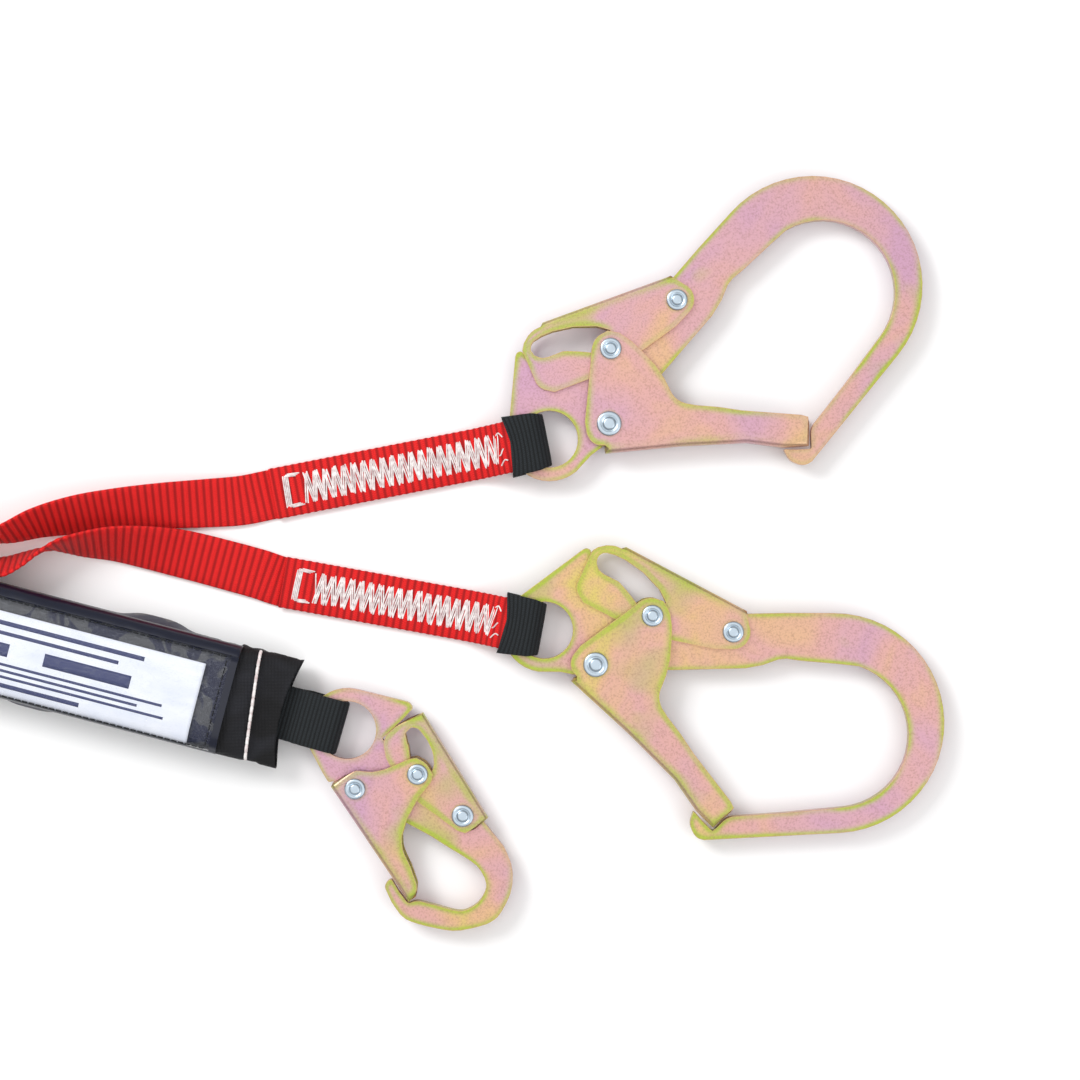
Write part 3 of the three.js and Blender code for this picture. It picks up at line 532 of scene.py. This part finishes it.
def yellow_chromate():
    """Yellow chromate on zinc: a thin satin film whose tint drifts over 20 to 50 mm."""
    material, tree, shader = new_material("yellow_chromated_zinc", Metallic=0.8)
    place = add_node(tree, "ShaderNodeTexCoord").outputs["Object"]
    drift = add_node(tree, "ShaderNodeTexNoise",
                     {"Vector": place, "Scale": 17.0, "Detail": 3.0, "Roughness": 0.5, "Distortion": 0.6})
    tint = add_node(tree, "ShaderNodeValToRGB", {"Fac": drift.outputs["Fac"]})
    stops = [(0.32, "c79cb4"), (0.42, "cfa2ac"), (0.54, "d5a59f"), (0.64, "d9b08a"), (0.72, "d4c070")]
    ramp = tint.color_ramp
    for _ in stops[2:]:
        ramp.elements.new(0.5)
    for element, (position, colour) in zip(ramp.elements, stops):
        element.position = position
        element.color = linear(colour)
    green_drift = add_node(tree, "ShaderNodeTexNoise", {"Vector": place, "Scale": 24.0, "Detail": 2.0})
    soft = add_node(tree, "ShaderNodeBevel", {"Radius": 0.0062}, samples=8)
    flat = add_node(tree, "ShaderNodeNewGeometry")
    agree = add_node(tree, "ShaderNodeVectorMath", {0: soft.outputs[0], 1: flat.outputs["Normal"]},
                     operation="DOT_PRODUCT")
    edge = add_node(tree, "ShaderNodeMapRange",
                    {"Value": agree.outputs["Value"], "From Min": 1.0, "From Max": 0.88})
    patch = add_node(tree, "ShaderNodeMapRange",
                     {"Value": green_drift.outputs["Fac"], "From Min": 0.36, "From Max": 0.62, "To Min": 0.25,
                      "To Max": 1.5})
    edge_part = add_node(tree, "ShaderNodeMath", {0: edge.outputs[0], 1: patch.outputs[0]},
                         operation="MULTIPLY")
    stray = add_node(tree, "ShaderNodeMapRange",
                     {"Value": green_drift.outputs["Fac"], "From Min": 0.58, "From Max": 0.72, "To Max": 0.6})
    edge_mask = add_node(tree, "ShaderNodeMath", {0: edge_part.outputs[0], 1: stray.outputs[0]},
                         operation="ADD", use_clamp=True)
    colour = add_node(tree, "ShaderNodeMix", {"Factor": edge_mask.outputs[0]}, data_type="RGBA")
    tree.links.new(tint.outputs["Color"], colour.inputs["A"])
    colour.inputs["B"].default_value = linear("a8b948")
    # Painted highlight: a light gold band along every rounded fold and sheared edge, where the steel catches
    # the light.
    highlight_bevel = add_node(tree, "ShaderNodeBevel", {"Radius": 0.0012}, samples=6)
    highlight_agree = add_node(tree, "ShaderNodeVectorMath", {0: highlight_bevel.outputs[0], 1: flat.outputs["Normal"]},
                         operation="DOT_PRODUCT")
    rim = add_node(tree, "ShaderNodeMapRange",
                   {"Value": highlight_agree.outputs["Value"], "From Min": 0.985, "From Max": 0.85, "To Max": 0.75})
    edge_highlighted = add_node(tree, "ShaderNodeMix", {"Factor": rim.outputs[0]}, data_type="RGBA")
    tree.links.new(colour.outputs["Result"], edge_highlighted.inputs["A"])
    edge_highlighted.inputs["B"].default_value = linear("d6a57e")
    grain = add_node(tree, "ShaderNodeTexNoise", {"Vector": place, "Scale": 2600.0, "Detail": 2.0})
    rough = add_node(tree, "ShaderNodeMapRange",
                     {"Value": grain.outputs["Fac"], "From Min": 0.3, "From Max": 0.7, "To Min": 0.3,
                      "To Max": 0.48})
    dents = add_node(tree, "ShaderNodeTexNoise", {"Vector": place, "Scale": 900.0, "Detail": 2.0})
    bump = add_node(tree, "ShaderNodeBump",
                    {"Height": dents.outputs["Fac"], "Strength": 0.3, "Distance": 0.0004})
    speckle = add_node(tree, "ShaderNodeTexNoise", {"Vector": place, "Scale": 1100.0, "Detail": 1.0})
    speckle_part = add_node(tree, "ShaderNodeMapRange", {"Value": speckle.outputs["Fac"], "From Min": 0.45,
                                                         "From Max": 0.75, "To Max": 0.4})
    satin = add_node(tree, "ShaderNodeMix", {"Factor": speckle_part.outputs[0]}, data_type="RGBA")
    tree.links.new(edge_highlighted.outputs["Result"], satin.inputs["A"])
    satin.inputs["B"].default_value = linear("94705f")
    tree.links.new(satin.outputs["Result"], shader.inputs["Base Color"])
    tree.links.new(rough.outputs[0], shader.inputs["Roughness"])
    tree.links.new(bump.outputs["Normal"], shader.inputs["Normal"])
    return material


chromate = yellow_chromate()


def round_corners(bm):
    """Rounds the upright corners of an outline, each as far as its neighbours leave room."""
    bm.normal_update()
    corners = []
    for line in bm.edges:
        if len(line.link_faces) != 2 or abs((line.verts[0].co - line.verts[1].co).normalized().z) < 0.99:
            continue
        angle = math.degrees(line.calc_face_angle(0))
        crowded = any(len(v.link_edges) != 3 for v in line.verts)
        level = any(abs(face.normal.z) > 0.1 for face in line.link_faces)
        if angle < 19 or crowded or level:
            continue
        nearby = [e.calc_length() for v in line.verts for e in v.link_edges if e is not line]
        room = 0.42 * min(nearby)
        corners.append((line, min(room, (3.0 if angle < 50 else 1.0) * MM)))
    for line, offset in corners:
        if line.is_valid:
            bmesh.ops.bevel(bm, geom=[line], offset=offset, segments=4, profile=0.5, affect="EDGES",
                            clamp_overlap=True, offset_type="OFFSET")
    bm.normal_update()


def stamped(node_name, piece_name, fold_radius=0.0, edge=0.45 * MM):
    """A stamped or folded steel piece, from the outline of its solid: the fold along its spine
    is rounded by fold_radius and every sheared edge by edge."""
    bm = bmesh.new()
    bm.from_mesh(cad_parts[node_name].data)
    bmesh.ops.remove_doubles(bm, verts=bm.verts, dist=1e-6)
    bmesh.ops.dissolve_limit(bm, angle_limit=math.radians(0.6), verts=bm.verts, edges=bm.edges)
    bm.normal_update()
    heights = [v.co.z for v in bm.verts]
    full = max(heights) - min(heights)
    if fold_radius:
        folds = []
        for line in bm.edges:
            if len(line.link_faces) != 2:
                continue
            walls = [f for f in line.link_faces if abs(f.normal.z) < 0.1
                     and max(v.co.z for v in f.verts) - min(v.co.z for v in f.verts) > 0.99 * full]
            caps = [f for f in line.link_faces if abs(f.normal.z) > 0.9]
            if walls and caps:
                folds.append(line)
        bmesh.ops.bevel(bm, geom=folds, offset=fold_radius, segments=5, profile=0.5, affect="EDGES",
                        clamp_overlap=False, offset_type="OFFSET")
    round_corners(bm)
    mesh = bpy.data.meshes.new(piece_name)
    bm.to_mesh(mesh)
    bm.free()
    piece = new_object(piece_name, mesh)
    mesh.shade_smooth()
    rounding = piece.modifiers.new("sheared_edges", "BEVEL")
    rounding.width = edge
    rounding.segments = 3
    rounding.limit_method = "ANGLE"
    rounding.angle_limit = math.radians(50)
    piece.data.set_sharp_from_angle(angle=math.radians(35))
    flat_faces = piece.modifiers.new("flat_faces", "WEIGHTED_NORMAL")
    flat_faces.keep_sharp = True
    piece.data.materials.append(chromate)
    return piece


for hook in ("hook_a", "hook_b", "snap"):
    for part, body, fold in (("body", hook, 0), ("gate", f"{hook}_gate", 2.4 * MM),
                             ("lever", f"{hook}_lever", 2.0 * MM)):
        steel = stamped(f"{hook}_{part}", f"{hook}_{part}_steel", fold)
        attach(steel, body)
        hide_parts(f"{hook}_{part}")

# ---- Rivets and lock pins ------------------------------------------------------------------------
# Bright zinc plated rivets, upset in a die that leaves a flat flange, a dark groove and a
# raised centre. The lock pin in each gate has the same heads.

bright_zinc, tree, shader = new_material("bright_zinc_rivet", Metallic=1.0)
zinc_noise = add_node(tree, "ShaderNodeTexNoise", {"Scale": 500.0, "Detail": 3.0})
zinc_ramp = add_node(tree, "ShaderNodeMapRange",
                     {"Value": zinc_noise.outputs["Fac"], "To Min": 0.2, "To Max": 0.45})
zinc_tone = add_node(tree, "ShaderNodeMix", {"Factor": zinc_noise.outputs["Fac"]}, data_type="RGBA")
zinc_tone.inputs["A"].default_value = linear("93a6b6")
zinc_tone.inputs["B"].default_value = linear("d9e4ec")
tree.links.new(zinc_ramp.outputs[0], shader.inputs["Roughness"])
tree.links.new(zinc_tone.outputs["Result"], shader.inputs["Base Color"])

RIVET_SIDES = 48


def rivet_mesh(node_name):
    """A rivet turned about the middle of its solid, with a die-formed head at each end."""
    low, high = (Vector(c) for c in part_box(node_name))
    centre = (low + high) / 2
    radius = (high.x - low.x) / 2
    top = (high.z - low.z) / 2
    seat = top - 2.15 * MM
    half = [(0.0, 1.0), (0.36, 1.0), (0.46, 0.93), (0.53, 0.62), (0.57, 0.5), (0.62, 0.5),
            (0.68, 0.62), (0.74, 0.66), (0.9, 0.64), (0.97, 0.5), (1.0, 0.3), (0.99, 0.0)]
    profile = [(r * radius, seat + h * (top - seat)) for r, h in half]
    shank = 0.5 * radius
    profile += [(shank, seat), (shank, -seat)]
    profile += [(r * radius, -seat - h * (top - seat)) for r, h in reversed(half)]
    verts, faces = [], []
    for r, z in profile[1:-1]:
        for k in range(RIVET_SIDES):
            a = 2 * math.pi * k / RIVET_SIDES
            verts.append((centre.x + r * math.cos(a), centre.y + r * math.sin(a), centre.z + z))
    rows = len(profile) - 2
    for i in range(rows - 1):
        for k in range(RIVET_SIDES):
            n = (k + 1) % RIVET_SIDES
            faces.append((i * RIVET_SIDES + k, (i + 1) * RIVET_SIDES + k,
                          (i + 1) * RIVET_SIDES + n, i * RIVET_SIDES + n))
    faces.append(tuple(range(RIVET_SIDES)))
    faces.append(tuple(reversed(range((rows - 1) * RIVET_SIDES, rows * RIVET_SIDES))))
    mesh = bpy.data.meshes.new(node_name)
    mesh.from_pydata(verts, [], faces)
    mesh.shade_smooth()
    mesh.set_sharp_from_angle(angle=math.radians(50))
    return mesh


for hook in ("hook_a", "hook_b", "snap"):
    for part, body in (("gate_rivet", hook), ("lever_rivet", hook), ("lock_pin", f"{hook}_gate")):
        rivet = new_object(f"{hook}_{part}_head", rivet_mesh(f"{hook}_{part}"))
        rivet.data.materials.append(bright_zinc)
        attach(rivet, body)
        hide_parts(f"{hook}_{part}")

# ---- Springs -------------------------------------------------------------------------------------
# Drawn steel wire: a torsion spring under each gate's ear and a bent wire inside each lever.
# They keep their solids, and don't bend as the gates and levers turn.

spring_steel, tree, shader = new_material("drawn_spring_wire", Metallic=1.0, Base_Color=linear("8d9094"))
wire_noise = add_node(tree, "ShaderNodeTexNoise", {"Scale": 900.0, "Detail": 2.0})
wire_ramp = add_node(tree, "ShaderNodeMapRange",
                     {"Value": wire_noise.outputs["Fac"], "To Min": 0.22, "To Max": 0.5})
tree.links.new(wire_ramp.outputs[0], shader.inputs["Roughness"])
for hook in ("hook_a", "hook_b", "snap"):
    for part in ("gate_spring", "lever_spring"):
        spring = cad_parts[f"{hook}_{part}"]
        spring.data.materials.clear()
        spring.data.materials.append(spring_steel)

# ---- Absorber pack: sleeve -----------------------------------------------------------------------
# A tube of coated black cloth sewn round the folded tear webbing, flatter at its two mouths.
# A cuff of woven cloth is sewn over each end.

SLEEVE_HALF_WIDTH = 28
SLEEVE_HALF_HEIGHT = 14
SLEEVE_END_HALF_HEIGHT = 8
SLEEVE_POWER = 4
END_TAPER = 34
# Where the folded webbing inside pushes the sleeve out at its sides: (x, side, reach).
TUCKS = [(129, 1, 4), (78, -1, 4)]

pack_to_row = (
    Matrix.Translation(placed(*pack_mouth(), 0))
    @ Matrix.Rotation(math.radians(PACK_ANGLE), 4, "Z")
    @ Matrix.Scale(MM, 4)
)


def sleeve_at(x):
    full = smoothstep(min(x, PACK_LENGTH - x), -2, END_TAPER)
    half = SLEEVE_END_HALF_HEIGHT + (SLEEVE_HALF_HEIGHT - SLEEVE_END_HALF_HEIGHT) * full
    return half, MOUTH_MID_Z + (SLEEVE_HALF_HEIGHT - MOUTH_MID_Z) * full


def sleeve_top(x, y):
    half, mid = sleeve_at(x)
    part = min(abs(y) / SLEEVE_HALF_WIDTH, 1)
    return mid + half * (1 - part**SLEEVE_POWER) ** (1 / SLEEVE_POWER)


def squared(value):
    return math.copysign(abs(value) ** (2 / SLEEVE_POWER), value)


def sleeve_mesh(name, x0, x1, inset, wall, crumple, hollow_mouth, steps=90, around=96):
    """A stretch of the sleeve as a tube with a wall, in the pack's frame, crumpled a little."""
    verts, faces = [], []
    for layer in (0, wall):
        for i in range(steps + 1):
            x = x0 + (x1 - x0) * i / steps
            half, mid = sleeve_at(min(max(x, 0), PACK_LENGTH))
            for k in range(around):
                a = 2 * math.pi * (k + 0.5) / around
                y = squared(math.cos(a)) * (SLEEVE_HALF_WIDTH - inset - layer)
                z = mid + squared(math.sin(a)) * (half - inset - layer)
                near_end = 1 - smoothstep(min(x, PACK_LENGTH - x), 0, 30)
                fold = noise.noise(Vector((x * 0.06, y * 0.09, z * 0.12))) * crumple * (0.5 + near_end)
                fold += noise.noise(Vector((x * 0.21, y * 0.15, z * 0.2 + 7))) * crumple * 0.4
                for centre_x, side, reach in TUCKS:
                    if x0 < centre_x < x1 and side * y > 0:
                        bulge = math.exp(-(((x - centre_x) / 15) ** 4)) * (abs(y) / SLEEVE_HALF_WIDTH) ** 6
                        y += side * reach * bulge * (1 - smoothstep(z, 8, 22))
                pull = hollow_mouth * (1 - (y / SLEEVE_HALF_WIDTH) ** 2)
                end_pull = pull * smoothstep(x, PACK_LENGTH - 25, PACK_LENGTH)
                inward = 1 - max(fold, 0) / 14
                verts.append(pack_to_row @ Vector((x - end_pull, y * inward, mid + (z - mid) * inward)))
    ring = (steps + 1) * around
    for i in range(steps):
        for k in range(around):
            n = (k + 1) % around
            quad = (i * around + k, (i + 1) * around + k, (i + 1) * around + n, i * around + n)
            faces.append(quad)
            faces.append(tuple(ring + q for q in reversed(quad)))
    for i in (0, steps):
        for k in range(around):
            n = (k + 1) % around
            quad = (i * around + k, i * around + n, ring + i * around + n, ring + i * around + k)
            faces.append(quad if i == 0 else tuple(reversed(quad)))
    mesh = bpy.data.meshes.new(name)
    mesh.from_pydata(verts, [], faces)
    mesh.shade_smooth()
    bm = bmesh.new()
    bm.from_mesh(mesh)
    bmesh.ops.recalc_face_normals(bm, faces=bm.faces)
    bm.to_mesh(mesh)
    bm.free()
    return mesh


def coated_cloth(name, dark_hex, light_hex, roughness, patch_scale=45.0, crisp=0.35, relief=0.4):
    """Coated nylon cloth: dark and half matt, with soft patches of a lighter colour; on the sleeve these grey
    patches are painted reflections of crumpled vinyl. Its 0.5 mm weave is drawn at 1.6 mm to show.
    """
    material, tree, shader = new_material(name, Roughness=roughness, Specular_IOR_Level=0.4)
    place = add_node(tree, "ShaderNodeTexCoord").outputs["Object"]
    waves = [add_node(tree, "ShaderNodeTexWave", {"Vector": place, "Scale": 314 / 1.6, "Distortion": 1.5},
                      bands_direction=direction) for direction in "XY"]
    weave = add_node(tree, "ShaderNodeMath", {0: waves[0].outputs["Fac"], 1: waves[1].outputs["Fac"]},
                     operation="ADD")
    # Patches of the lighter colour: on the cuffs and tear webbing a tone that varies at random, on the sleeve
    # painted reflections.
    tone_and_reflection_noise = add_node(tree, "ShaderNodeTexNoise", {"Vector": place, "Scale": patch_scale, "Detail": 1.0,
                                                  "Distortion": 1.2})
    ramp = add_node(tree, "ShaderNodeMapRange",
                    {"Value": tone_and_reflection_noise.outputs["Fac"], "From Min": 0.53 - crisp / 2,
                     "From Max": 0.53 + crisp / 2})
    colour = add_node(tree, "ShaderNodeMix", {"Factor": ramp.outputs[0]}, data_type="RGBA")
    colour.inputs["A"].default_value = linear(dark_hex)
    colour.inputs["B"].default_value = linear(light_hex)
    bump = add_node(tree, "ShaderNodeBump",
                    {"Height": weave.outputs[0], "Strength": relief, "Distance": 0.0004})
    tree.links.new(colour.outputs["Result"], shader.inputs["Base Color"])
    tree.links.new(bump.outputs["Normal"], shader.inputs["Normal"])
    return material


# The sleeve's grey-brown patches over its navy are painted reflections of crumpled vinyl.
sleeve_cloth = coated_cloth("coated_sleeve_cloth", "0b1030", "45464b", 0.45, 70.0, 0.04, 0.06)
sleeve = new_object("pack_sleeve", sleeve_mesh("pack_sleeve", 2, PACK_LENGTH - 2, 0.8, 1.0, 0.8, 3))
sleeve.data.materials.append(sleeve_cloth)
cuff_cloth = coated_cloth("woven_cuff_cloth", "08080b", "1b1c22", 0.8)
for side, (x0, x1) in {"right": (174, PACK_LENGTH), "left": (0, 16)}.items():
    cuff = new_object(f"pack_cuff_{side}", sleeve_mesh(f"pack_cuff_{side}", x0, x1, 0, 0.7, 1.3, 4, 40))
    cuff.data.materials.append(cuff_cloth)
    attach(cuff, "lanyard")
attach(sleeve, "lanyard")
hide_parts("pack_cover")

# ---- Absorber pack: tear webbing -----------------------------------------------------------------
# The energy absorber: black tear webbing folded to and fro, seen only through the mouths.
# It keeps its solid.

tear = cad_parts["pack_tear_webbing"]
tear.data.materials.clear()
tear.data.materials.append(coated_cloth("tear_webbing", "111316", "24272c", 0.9))

# ---- Absorber pack: label and window -------------------------------------------------------------
# A white card with plain printed blocks lies on the sleeve under a clear vinyl window, which
# is bound in navy vinyl along its long edge and sewn down with dark thread.

LABEL = (28, 160, -27.2, 15)
WINDOW = (18, 172, -27.6, 27.6)


def top_sheet(name, x0, x1, y0, y1, lift, thickness, ripple, nx=80, ny=40):
    """A thin sheet over the sleeve's top, in the pack's frame, with gentle ripples."""
    verts, faces = [], []
    for layer in (thickness, 0):
        for i in range(nx + 1):
            for j in range(ny + 1):
                x, y = x0 + (x1 - x0) * i / nx, y0 + (y1 - y0) * j / ny
                wave = noise.noise(Vector((x * 0.045, y * 0.11, 3))) * ripple
                wave += noise.noise(Vector((x * 0.12, y * 0.2, 9))) * ripple * 0.4
                verts.append(pack_to_row @ Vector((x, y, sleeve_top(x, y) + lift + layer + wave)))
    layer_size = (nx + 1) * (ny + 1)
    for i in range(nx):
        for j in range(ny):
            a = i * (ny + 1) + j
            quad = (a, a + ny + 1, a + ny + 2, a + 1)
            faces += [quad, tuple(layer_size + q for q in reversed(quad))]
    rim = [i * (ny + 1) for i in range(nx)] + [nx * (ny + 1) + j for j in range(ny)]
    rim += [i * (ny + 1) + ny for i in range(nx, 0, -1)] + list(range(ny, 0, -1))
    for a, b in zip(rim, rim[1:] + rim[:1]):
        faces.append((a, layer_size + a, layer_size + b, b))
    mesh = bpy.data.meshes.new(name)
    mesh.from_pydata(verts, [], faces)
    uv = mesh.uv_layers.new(name="sheet")
    for loop in mesh.loops:
        local = pack_to_row.inverted() @ mesh.vertices[loop.vertex_index].co
        uv.data[loop.index].uv = ((local.x - x0) / (x1 - x0), (local.y - y0) / (y1 - y0))
    mesh.shade_smooth()
    return new_object(name, mesh)


card_finish, tree, shader = new_material("printed_label_card", Roughness=0.5)
card_uv = add_node(tree, "ShaderNodeUVMap", uv_map="sheet")
# Painted shade of the card's crumples: a bluish grey mixed into the white in broad soft patches.
card_crumple_shade = add_node(tree, "ShaderNodeTexNoise", {"Vector": card_uv.outputs["UV"], "Scale": 6.0})
card_mix = add_node(tree, "ShaderNodeMix", {"Factor": card_crumple_shade.outputs["Fac"]}, data_type="RGBA")
card_mix.inputs["A"].default_value = linear("cfd6e8")
card_mix.inputs["B"].default_value = linear("f2f4f9")
tree.links.new(card_mix.outputs["Result"], shader.inputs["Base Color"])
card = top_sheet("pack_label_card", *LABEL, 0.5, 0.35, 0.25)
card.data.materials.append(card_finish)
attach(card, "lanyard")
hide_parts("pack_label")

print_ink, tree, shader = new_material("label_ink", Roughness=0.45)
ink_noise = add_node(tree, "ShaderNodeTexNoise", {"Scale": 700.0})
ink_mix = add_node(tree, "ShaderNodeMix", {"Factor": ink_noise.outputs["Fac"]}, data_type="RGBA")
ink_mix.inputs["A"].default_value = linear("232a55")
ink_mix.inputs["B"].default_value = linear("3a4270")
tree.links.new(ink_mix.outputs["Result"], shader.inputs["Base Color"])
# Plain printed bars: (start along the label, length, height across the label, bar height).
BARS = [(34, 96, 9.5, 2.2), (34, 84, 4.6, 1.8), (34, 30, -3.4, 6.5), (82, 44, -3.4, 6.5),
        (34, 110, -10.6, 1.3), (34, 98, -13.6, 1.3), (34, 112, -16.6, 1.3), (34, 70, -20.8, 2.2)]
for number, (start, length, y, height) in enumerate(BARS):
    bar = top_sheet(f"pack_label_bar_{number}", start, start + length, y - height / 2, y + height / 2,
                    0.87, 0.06, 0.25, 40, 3)
    bar.data.materials.append(print_ink)
    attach(bar, "lanyard")

vinyl, tree, shader = new_material("clear_vinyl", Base_Color=linear("dfe6f2"), Roughness=0.09, IOR=1.5)
# Painted reflections on the crumpled vinyl: whitish patches where the window is made slightly opaque.
glints = add_node(tree, "ShaderNodeTexNoise", {"Scale": 48.0, "Detail": 3.0, "Distortion": 1.6})
glint_opacity = add_node(tree, "ShaderNodeMapRange",
                {"Value": glints.outputs["Fac"], "From Min": 0.55, "From Max": 0.7, "To Min": 0.015,
                 "To Max": 0.08})
tree.links.new(glint_opacity.outputs[0], shader.inputs["Alpha"])
vinyl_ripples = add_node(tree, "ShaderNodeTexNoise", {"Scale": 90.0, "Detail": 3.0, "Distortion": 1.0})
vinyl_bump = add_node(tree, "ShaderNodeBump", {"Height": vinyl_ripples.outputs["Fac"], "Strength": 0.5,
                                               "Distance": 0.002})
tree.links.new(vinyl_bump.outputs["Normal"], shader.inputs["Normal"])
window = top_sheet("pack_vinyl_window", *WINDOW, 1.5, 0.5, 0.7, 120, 60)
window.data.materials.append(vinyl)
navy_binding, tree, shader = new_material("navy_vinyl_binding", Roughness=0.28)
binding_noise = add_node(tree, "ShaderNodeTexNoise", {"Scale": 60.0, "Detail": 4.0})
binding_mix = add_node(tree, "ShaderNodeMix", {"Factor": binding_noise.outputs["Fac"]}, data_type="RGBA")
binding_mix.inputs["A"].default_value = linear("05070f")
binding_mix.inputs["B"].default_value = linear("141a33")
tree.links.new(binding_mix.outputs["Result"], shader.inputs["Base Color"])
for name, edges in {"upper": (12, 175, 22, 27.7), "lower": (12, 175, -27.8, -26.6),
                    "right": (171.5, 175, -26.6, 22)}.items():
    binding = top_sheet(f"pack_binding_{name}", *edges, 2.1, 0.7, 0.5, 100, 12)
    binding.data.materials.append(navy_binding)
    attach(binding, "lanyard")
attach(window, "lanyard")
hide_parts("pack_window")

# ---- Absorber pack: seams ------------------------------------------------------------------------
# A row of thick white stitches closes the right cuff, another the left one, and dark thread
# holds the window's edges.


def pack_stitches(name, start, end, pitch, fill, radius, lift):
    """Running stitches over the sleeve's top from start to end, (x, y) in the pack's frame."""
    line = Vector(end) - Vector(start)
    count = int(line.length / pitch)
    strokes = []
    for i in range(count):
        a = Vector(start) + line * (i / count)
        b = Vector(start) + line * ((i + fill) / count)

        def over(q, y, height):
            return pack_to_row @ Vector((q, y, sleeve_top(q, y) + lift + height))

        strokes.append(stitch_stroke(over, a, b, 0.35))
    return thread_curve(name, strokes, radius * MM)


for side, (start, end) in {"right": ((184, 27.2), (190, -27.2)), "left": ((9, 26), (9, -26))}.items():
    seam = pack_stitches(f"pack_seam_{side}", start, end, 3.7, 0.8, 0.8, 1.3)
    seam.data.materials.append(thread_finish)
    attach(seam, "lanyard")
    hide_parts(f"pack_stitch_{side}")

dark_thread, tree, shader = new_material("dark_bonded_thread", Roughness=0.7)
dark_noise = add_node(tree, "ShaderNodeTexNoise", {"Scale": 800.0})
dark_mix = add_node(tree, "ShaderNodeMix", {"Factor": dark_noise.outputs["Fac"]}, data_type="RGBA")
dark_mix.inputs["A"].default_value = linear("06070a")
dark_mix.inputs["B"].default_value = linear("1c2028")
tree.links.new(dark_mix.outputs["Result"], shader.inputs["Base Color"])
BORDER = {"upper": ((14, 21), (170, 21)), "lower": ((14, -26), (170, -26)),
          "right": ((169.5, 19), (169.5, -25))}
for side, (start, end) in BORDER.items():
    seam = pack_stitches(f"pack_border_{side}", start, end, 3.4, 0.66, 0.32, 2.0)
    seam.data.materials.append(dark_thread)
    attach(seam, "lanyard")

# ---- Loop to the snap hook -----------------------------------------------------------------------
# A doubled black webbing loop from inside the pack's right mouth, round the snap hook's eye.
# Its own stitching would be hidden in the mouth, and isn't made.

loop_layers = [
    [(-52, 11.2), (-28, 10.4), (-22, HOOK_MID_Z - LOOP_HALF - WEB / 2)],
    [(-22, HOOK_MID_Z + LOOP_HALF + WEB / 2), (-28, 13.6), (-52, 13.6)],
]
PACK_LOOP_REACH = -2.5
snap_loop = bent_strap("pack_snap_loop", "snap", loop_layers, LOOP_HALF + WEB / 2, PACK_LOOP_REACH - WEB / 2,
                       27, WEB, 2, 0.28)
snap_loop.data.materials.append(black_polyester)
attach(snap_loop, "lanyard")
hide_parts("pack_loop")

bpy.context.view_layer.update()
